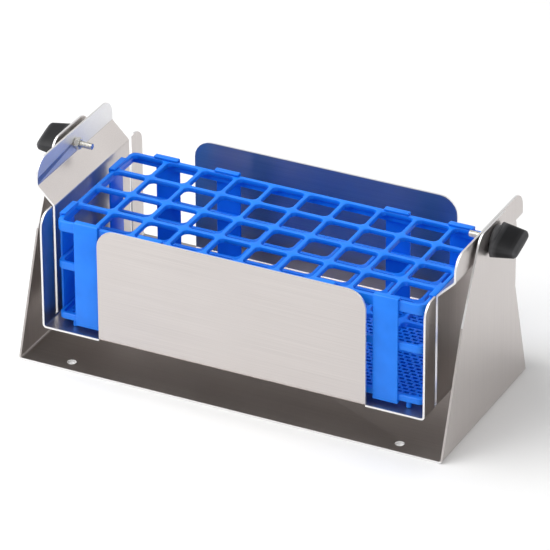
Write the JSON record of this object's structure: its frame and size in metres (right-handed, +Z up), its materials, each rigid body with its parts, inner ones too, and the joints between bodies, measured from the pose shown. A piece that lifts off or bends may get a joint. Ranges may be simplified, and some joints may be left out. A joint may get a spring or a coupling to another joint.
{
  "type": "adjustable-angle test tube rack holder",
  "caption": "Bent stainless base with two ears carrying a tilting cradle clamped by wing knobs, holding a loose snap-together blue plastic test tube rack with three tiers.",
  "frame": {"origin": "on the underside of the base sheet, straight below the cradle's pivot axis, midway between the ears", "axes": "+X along the pivot axis to the right, +Y to the rear, +Z up"},
  "size_m": [0.3836, 0.1625, 0.153],
  "materials": {
    "stainless_sheet": "fine brushed stainless sheet with bright sheared edges",
    "bright_steel": "bright plated steel thread and nut",
    "black_knob": "black moulded plastic with a fine matt grain and softly worn edges",
    "nylon_washer": "natural white nylon",
    "blue_rack": "bright blue injection-moulded polypropylene with a satin gloss"
  },
  "bodies": {
    "base": {"base_bracket": "stainless_sheet", "left_washer": "nylon_washer", "right_washer": "nylon_washer"},
    "cradle": {"cradle_tray": "stainless_sheet", "left_clinch_nut": "bright_steel", "right_clinch_nut": "bright_steel"},
    "rack": {"rack_top_grid": "blue_rack", "rack_middle_grid": "blue_rack", "rack_bottom_shelf": "blue_rack", "front_strip_1": "blue_rack", "front_strip_2": "blue_rack", "front_strip_3": "blue_rack", "front_strip_4": "blue_rack", "rear_strip_1": "blue_rack", "rear_strip_2": "blue_rack", "rear_strip_3": "blue_rack", "rear_strip_4": "blue_rack", "left_strip_1": "blue_rack", "left_strip_2": "blue_rack", "right_strip_1": "blue_rack", "right_strip_2": "blue_rack"},
    "left_knob": {"left_wing_knob": "black_knob", "left_stud": "bright_steel"},
    "right_knob": {"right_wing_knob": "black_knob", "right_stud": "bright_steel"}
  },
  "joints": [
    {"name": "cradle_tilt", "type": "hinge", "parent": "base", "child": "cradle", "pos_m": [0, 0, 0.13948], "axis": [1, 0, 0], "range_deg": [-90, 90]},
    {"name": "rack_lift", "type": "slide", "parent": "cradle", "child": "rack", "axis": [0, 0, 1], "range_m": [0, 0.125]},
    {"name": "left_knob_turn", "type": "hinge", "parent": "base", "child": "left_knob", "pos_m": [-0.175, 0, 0.13948], "axis": [-1, 0, 0], "continuous": true},
    {"name": "right_knob_turn", "type": "hinge", "parent": "base", "child": "right_knob", "pos_m": [0.175, 0, 0.13948], "axis": [1, 0, 0], "continuous": true}
  ]
}
